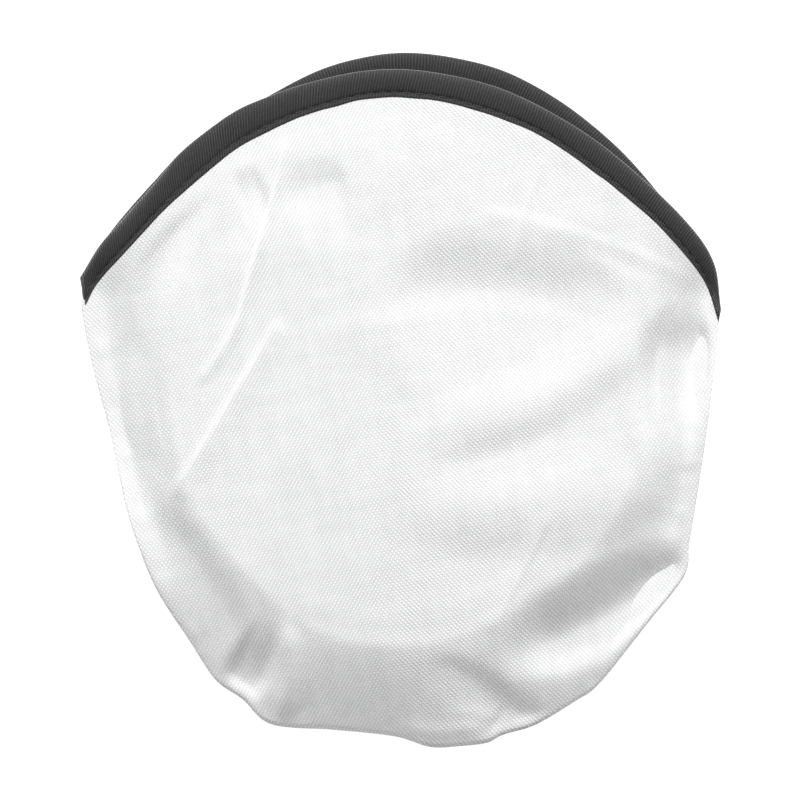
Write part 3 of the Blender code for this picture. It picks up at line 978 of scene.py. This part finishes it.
def steel_material():
    """Drawn spring wire: fine scratches along it, and a thin film of oil."""
    nodes = Nodes("drawn_spring_steel")
    place = nodes.add("ShaderNodeTexCoord").outputs["Object"]
    scratch = nodes.noise(place, 0.4 * MM, 4.0, (1, 1, 6))
    film = nodes.noise(place, 7 * MM, 3.0)
    tone = nodes.mix((scratch, 0.6), (film, 0.4))
    oiled = (0.33, 0.33, 0.34)
    steel = (0.52, 0.52, 0.53)
    bright = (0.66, 0.66, 0.66)
    colour = nodes.colours(tone, [(0.25, oiled), (0.55, steel), (0.8, bright)])
    normal = nodes.bump(scratch, 0.02 * MM, 0.5)
    roughness = nodes.scale(film, 0.3, 0.7, 0.22, 0.42)
    return nodes.finish(colour, roughness, normal, Metallic=1.0)


def ferrule_material():
    """Plated brass sleeve with the dents of its crimping tool."""
    nodes = Nodes("crimped_plated_brass")
    place = nodes.add("ShaderNodeTexCoord").outputs["Object"]
    _, along, _ = nodes.split(place)
    teeth = nodes.math("SINE", nodes.math("MULTIPLY", along, CRIMP_TURN))
    dents = nodes.math("POWER", nodes.math("ABSOLUTE", teeth), 6.0)
    wear_and_highlight = nodes.noise(place, 1.5 * MM, 4.0)
    brass = (0.46, 0.40, 0.28)
    dulled = (0.66, 0.62, 0.54)
    plating = (0.74, 0.71, 0.65)
    colour = nodes.colours(wear_and_highlight, [(0.3, brass), (0.5, dulled), (0.75, plating)])
    normal = nodes.bump(wear_and_highlight, 0.02 * MM, 0.5)
    normal = nodes.bump(dents, -0.15 * MM, 0.9, normal)
    roughness = nodes.scale(wear_and_highlight, 0.3, 0.7, 0.28, 0.48)
    return nodes.finish(colour, roughness, normal, Metallic=1.0)


def dress_wire():
    """The wire and its sleeve keep their own shapes and get better materials."""
    materials = {"spring_wire_ring": steel_material(), "crimp_ferrule": ferrule_material()}
    for name, material in materials.items():
        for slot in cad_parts[name].material_slots:
            slot.material = material


# ---------------------------------------------------------------- the stage

def add_camera():
    data = bpy.data.cameras.new("camera")
    data.lens = LENS
    data.sensor_width = SENSOR
    data.clip_start = 0.05
    data.clip_end = 50
    camera = bpy.data.objects.new("camera", data)
    distance = FRAME_WIDTH * LENS / SENSOR
    camera.location = (0, 0, (distance + POUCH_MIDDLE) * MM)
    bpy.context.scene.collection.objects.link(camera)
    bpy.context.scene.camera = camera


def add_lamp(name, place, size, power):
    """A soft square lamp that faces the pouch. place and size are in millimetres."""
    data = bpy.data.lights.new(name, "AREA")
    data.size = size * MM
    data.energy = power
    lamp = bpy.data.objects.new(name, data)
    lamp.location = Vector(place) * MM
    lamp.rotation_euler = (-Vector(place)).to_track_quat("-Z", "Y").to_euler()
    bpy.context.scene.collection.objects.link(lamp)


def add_stage():
    across = np.linspace(-FLOOR_REACH, FLOOR_REACH, 21)
    points = np.broadcast_arrays(across[None], across[:, None], FLOOR_HEIGHT)
    floor = grid_mesh("floor", np.dstack(points))
    floor.data.materials.append(floor_material())
    world = bpy.data.worlds.new("studio")
    world.use_nodes = True
    background = world.node_tree.nodes["Background"]
    background.inputs["Color"].default_value = (1, 1, 1, 1)
    background.inputs["Strength"].default_value = WORLD_STRENGTH
    bpy.context.scene.world = world
    add_lamp("key", (30, 1180, 1020), 520, KEY_POWER)
    add_lamp("top", (40, 60, 1300), 700, TOP_POWER)
    add_lamp("left", (-1100, 0, 350), 700, SIDE_POWER)
    add_lamp("right", (1100, 0, 350), 700, SIDE_POWER)
    bpy.context.scene.view_settings.view_transform = "Standard"


def build():
    cloth = white_cloth_material()
    tape = black_tape_material()
    black_thread = thread_material("black_thread", (0.008, 0.008, 0.009), (0.06, 0.06, 0.062))
    white_thread = thread_material("white_thread", (0.55, 0.56, 0.57), (0.85, 0.85, 0.85))
    build_front_cloth(cloth)
    build_back_cloth(cloth)
    build_front_binding(tape, black_thread)
    build_back_binding(tape, black_thread)
    build_seam_stitches(white_thread)
    build_rim_tape(tape)
    build_rim_stitches(black_thread)
    build_disc_cloth(cloth)
    dress_wire()
    add_stage()
    add_camera()


build()
